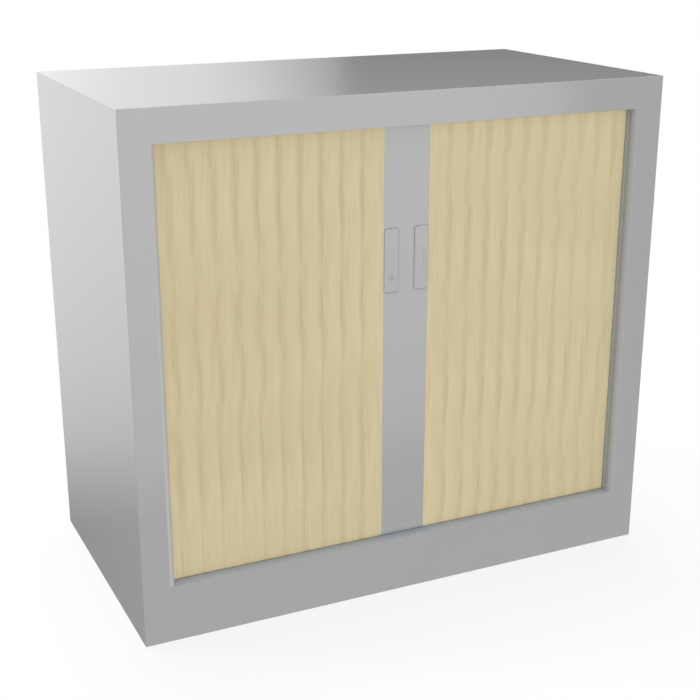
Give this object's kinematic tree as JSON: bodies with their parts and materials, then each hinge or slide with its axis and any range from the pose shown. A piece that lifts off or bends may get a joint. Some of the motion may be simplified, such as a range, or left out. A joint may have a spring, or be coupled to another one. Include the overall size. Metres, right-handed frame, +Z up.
{
  "type": "tambour door cabinet",
  "caption": "Desk-high steel cupboard whose beech-effect slatted curtains slide sideways from a grey central closing band into the sides, with raised pulls, a lock and a shelf.",
  "frame": {"origin": "on the floor under the middle of the cupboard", "axes": "+Z up, -Y out of the front, +X to the right seen from the front"},
  "size_m": [0.8, 0.43, 0.726],
  "materials": {
    "carcass_paint": "silver-grey satin powder coat",
    "inner_paint": "silver-grey satin powder coat",
    "beech_slat": "pale beech-effect foil on a plastic profile, satin",
    "profile_finish": "silver-grey satin",
    "handle_plastic": "silver-grey moulded plastic",
    "lock_metal": "satin nickel",
    "zinc_plate": "zinc plated",
    "guide_plastic": "mid-grey extruded plastic",
    "foot_plastic": "black moulded plastic"
  },
  "bodies": {
    "carcass": {"front_frame": "carcass_paint", "side_panel_left": "carcass_paint", "side_panel_right": "carcass_paint", "top_panel": "carcass_paint", "back_panel": "carcass_paint", "floor_panel": "inner_paint", "ceiling_panel": "inner_paint", "bottom_track_front": "guide_plastic", "bottom_track_left": "guide_plastic", "bottom_track_right": "guide_plastic", "top_track_front": "guide_plastic", "top_track_left": "guide_plastic", "top_track_right": "guide_plastic", "inner_wall_left": "inner_paint", "inner_wall_right": "inner_paint", "shelf": "inner_paint", "shelf_clip_front_left": "zinc_plate", "shelf_clip_front_right": "zinc_plate", "shelf_clip_back_left": "zinc_plate", "shelf_clip_back_right": "zinc_plate", "plinth_rail_left": "inner_paint", "plinth_rail_right": "inner_paint", "foot_nut_front_left": "zinc_plate", "foot_nut_front_right": "zinc_plate", "foot_nut_back_left": "zinc_plate", "foot_nut_back_right": "zinc_plate"},
    "left_closing_profile": {"closing_profile_left": "profile_finish", "handle_left": "handle_plastic", "slat_left_01": "beech_slat"},
    "slat_left_02": {"slat_left_02": "beech_slat"},
    "slat_left_03": {"slat_left_03": "beech_slat"},
    "slat_left_04": {"slat_left_04": "beech_slat"},
    "slat_left_05": {"slat_left_05": "beech_slat"},
    "slat_left_06": {"slat_left_06": "beech_slat"},
    "slat_left_07": {"slat_left_07": "beech_slat"},
    "slat_left_08": {"slat_left_08": "beech_slat"},
    "slat_left_09": {"slat_left_09": "beech_slat"},
    "slat_left_10": {"slat_left_10": "beech_slat"},
    "slat_left_11": {"slat_left_11": "beech_slat"},
    "right_closing_profile": {"closing_profile_right": "profile_finish", "handle_right": "handle_plastic", "slat_right_01": "beech_slat", "lock_keeper": "zinc_plate"},
    "slat_right_02": {"slat_right_02": "beech_slat"},
    "slat_right_03": {"slat_right_03": "beech_slat"},
    "slat_right_04": {"slat_right_04": "beech_slat"},
    "slat_right_05": {"slat_right_05": "beech_slat"},
    "slat_right_06": {"slat_right_06": "beech_slat"},
    "slat_right_07": {"slat_right_07": "beech_slat"},
    "slat_right_08": {"slat_right_08": "beech_slat"},
    "slat_right_09": {"slat_right_09": "beech_slat"},
    "slat_right_10": {"slat_right_10": "beech_slat"},
    "slat_right_11": {"slat_right_11": "beech_slat"},
    "lock": {"lock_barrel": "lock_metal", "lock_cam": "zinc_plate"},
    "foot_front_left": {"levelling_foot_front_left": "foot_plastic"},
    "foot_front_right": {"levelling_foot_front_right": "foot_plastic"},
    "foot_back_left": {"levelling_foot_back_left": "foot_plastic"},
    "foot_back_right": {"levelling_foot_back_right": "foot_plastic"}
  },
  "joints": [
    {"name": "left_curtain_slide", "type": "slide", "parent": "carcass", "child": "left_closing_profile", "axis": [-1, 0, 0], "range_m": [0, 0.319]},
    {"name": "right_curtain_slide", "type": "slide", "parent": "carcass", "child": "right_closing_profile", "axis": [1, 0, 0], "range_m": [0, 0.319]},
    {"name": "slat_left_02_slide", "type": "slide", "parent": "carcass", "child": "slat_left_02", "axis": [-0.9999, 0.0173, 0], "range_m": [0, 0.28904]},
    {"name": "slat_left_03_slide", "type": "slide", "parent": "carcass", "child": "slat_left_03", "axis": [-0.9993, 0.0386, 0], "range_m": [0, 0.25919]},
    {"name": "slat_left_04_slide", "type": "slide", "parent": "carcass", "child": "slat_left_04", "axis": [-0.9979, 0.0654, 0], "range_m": [0, 0.22949]},
    {"name": "slat_left_05_slide", "type": "slide", "parent": "carcass", "child": "slat_left_05", "axis": [-0.995, 0.1, 0], "range_m": [0, 0.2]},
    {"name": "slat_left_06_slide", "type": "slide", "parent": "carcass", "child": "slat_left_06", "axis": [-0.9892, 0.1463, 0], "range_m": [0, 0.17084]},
    {"name": "slat_left_07_slide", "type": "slide", "parent": "carcass", "child": "slat_left_07", "axis": [-0.9775, 0.211, 0], "range_m": [0, 0.1422]},
    {"name": "slat_left_08_slide", "type": "slide", "parent": "carcass", "child": "slat_left_08", "axis": [-0.9521, 0.3057, 0], "range_m": [0, 0.11448]},
    {"name": "slat_left_09_slide", "type": "slide", "parent": "carcass", "child": "slat_left_09", "axis": [-0.8922, 0.4517, 0], "range_m": [0, 0.08855]},
    {"name": "slat_left_10_slide", "type": "slide", "parent": "carcass", "child": "slat_left_10", "axis": [-0.7365, 0.6764, 0], "range_m": [0, 0.06653]},
    {"name": "slat_left_11_slide", "type": "slide", "parent": "carcass", "child": "slat_left_11", "axis": [-0.3552, 0.9348, 0], "range_m": [0, 0.05349]},
    {"name": "slat_right_02_slide", "type": "slide", "parent": "carcass", "child": "slat_right_02", "axis": [0.9999, 0.0173, 0], "range_m": [0, 0.28904]},
    {"name": "slat_right_03_slide", "type": "slide", "parent": "carcass", "child": "slat_right_03", "axis": [0.9993, 0.0386, 0], "range_m": [0, 0.25919]},
    {"name": "slat_right_04_slide", "type": "slide", "parent": "carcass", "child": "slat_right_04", "axis": [0.9979, 0.0654, 0], "range_m": [0, 0.22949]},
    {"name": "slat_right_05_slide", "type": "slide", "parent": "carcass", "child": "slat_right_05", "axis": [0.995, 0.1, 0], "range_m": [0, 0.2]},
    {"name": "slat_right_06_slide", "type": "slide", "parent": "carcass", "child": "slat_right_06", "axis": [0.9892, 0.1463, 0], "range_m": [0, 0.17084]},
    {"name": "slat_right_07_slide", "type": "slide", "parent": "carcass", "child": "slat_right_07", "axis": [0.9775, 0.211, 0], "range_m": [0, 0.1422]},
    {"name": "slat_right_08_slide", "type": "slide", "parent": "carcass", "child": "slat_right_08", "axis": [0.9521, 0.3057, 0], "range_m": [0, 0.11448]},
    {"name": "slat_right_09_slide", "type": "slide", "parent": "carcass", "child": "slat_right_09", "axis": [0.8922, 0.4517, 0], "range_m": [0, 0.08855]},
    {"name": "slat_right_10_slide", "type": "slide", "parent": "carcass", "child": "slat_right_10", "axis": [0.7365, 0.6764, 0], "range_m": [0, 0.06653]},
    {"name": "slat_right_11_slide", "type": "slide", "parent": "carcass", "child": "slat_right_11", "axis": [0.3552, 0.9348, 0], "range_m": [0, 0.05349]},
    {"name": "lock_turn", "type": "hinge", "parent": "left_closing_profile", "child": "lock", "pos_m": [-0.023, -0.18, 0.472], "axis": [0, -1, 0], "range_deg": [0, 90]},
    {"name": "foot_front_left_screw", "type": "slide", "parent": "carcass", "child": "foot_front_left", "axis": [0, 0, -1], "range_m": [0, 0.015]},
    {"name": "foot_front_right_screw", "type": "slide", "parent": "carcass", "child": "foot_front_right", "axis": [0, 0, -1], "range_m": [0, 0.015]},
    {"name": "foot_back_left_screw", "type": "slide", "parent": "carcass", "child": "foot_back_left", "axis": [0, 0, -1], "range_m": [0, 0.015]},
    {"name": "foot_back_right_screw", "type": "slide", "parent": "carcass", "child": "foot_back_right", "axis": [0, 0, -1], "range_m": [0, 0.015]}
  ],
  "couplings": [
    {"joint": "slat_left_02_slide", "follows": "left_curtain_slide", "ratio": 0.90609},
    {"joint": "slat_left_03_slide", "follows": "left_curtain_slide", "ratio": 0.81252},
    {"joint": "slat_left_04_slide", "follows": "left_curtain_slide", "ratio": 0.71941},
    {"joint": "slat_left_05_slide", "follows": "left_curtain_slide", "ratio": 0.62697},
    {"joint": "slat_left_06_slide", "follows": "left_curtain_slide", "ratio": 0.53555},
    {"joint": "slat_left_07_slide", "follows": "left_curtain_slide", "ratio": 0.44577},
    {"joint": "slat_left_08_slide", "follows": "left_curtain_slide", "ratio": 0.35888},
    {"joint": "slat_left_09_slide", "follows": "left_curtain_slide", "ratio": 0.27758},
    {"joint": "slat_left_10_slide", "follows": "left_curtain_slide", "ratio": 0.20855},
    {"joint": "slat_left_11_slide", "follows": "left_curtain_slide", "ratio": 0.16767},
    {"joint": "slat_right_02_slide", "follows": "right_curtain_slide", "ratio": 0.90609},
    {"joint": "slat_right_03_slide", "follows": "right_curtain_slide", "ratio": 0.81252},
    {"joint": "slat_right_04_slide", "follows": "right_curtain_slide", "ratio": 0.71941},
    {"joint": "slat_right_05_slide", "follows": "right_curtain_slide", "ratio": 0.62697},
    {"joint": "slat_right_06_slide", "follows": "right_curtain_slide", "ratio": 0.53555},
    {"joint": "slat_right_07_slide", "follows": "right_curtain_slide", "ratio": 0.44577},
    {"joint": "slat_right_08_slide", "follows": "right_curtain_slide", "ratio": 0.35888},
    {"joint": "slat_right_09_slide", "follows": "right_curtain_slide", "ratio": 0.27758},
    {"joint": "slat_right_10_slide", "follows": "right_curtain_slide", "ratio": 0.20855},
    {"joint": "slat_right_11_slide", "follows": "right_curtain_slide", "ratio": 0.16767}
  ]
}
